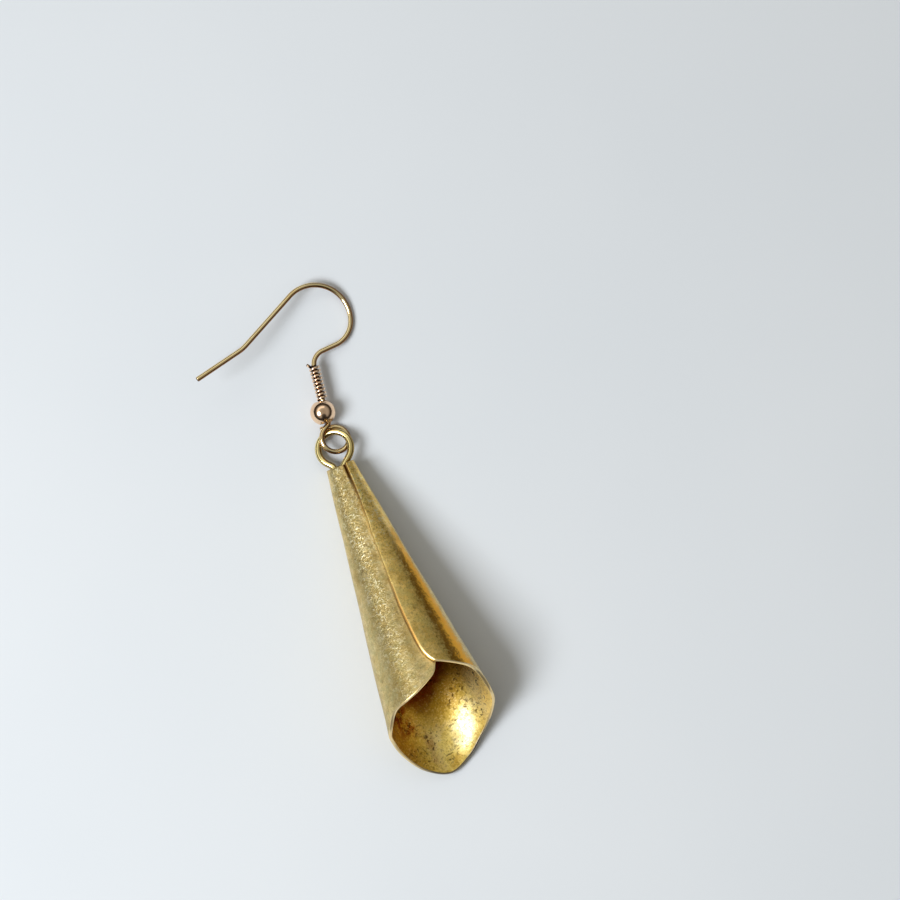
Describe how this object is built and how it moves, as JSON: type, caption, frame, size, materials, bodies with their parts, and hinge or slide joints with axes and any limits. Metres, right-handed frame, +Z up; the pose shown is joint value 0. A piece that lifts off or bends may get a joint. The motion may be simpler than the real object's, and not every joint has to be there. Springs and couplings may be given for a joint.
{
  "type": "cone drop earring",
  "caption": "Drop earring: a rolled sheet-brass cone on a wire eye, hung from a fish-hook ear wire with a drilled bead and a fine wire coil.",
  "frame": {"origin": "centre of the earring's footprint, on the flat surface that it lies on", "axes": "+Y from the cone's mouth to the hook, +Z up from the surface, +X to the right seen from above with the hook at the top"},
  "size_m": [0.02, 0.0598, 0.0121],
  "materials": {
    "antique_brass": "antiqued, brushed and mottled",
    "eye_brass": "plain drawn wire",
    "hook_gold": "polished gold plate",
    "coil_rose": "polished rose-gold plate",
    "bead_rose": "mirror-polished rose-gold plate"
  },
  "bodies": {
    "root": {"cone_shell": "antique_brass", "cone_eye": "eye_brass", "ear_hook": "hook_gold", "wire_coil": "coil_rose", "bead": "bead_rose"}
  },
  "joints": []
}
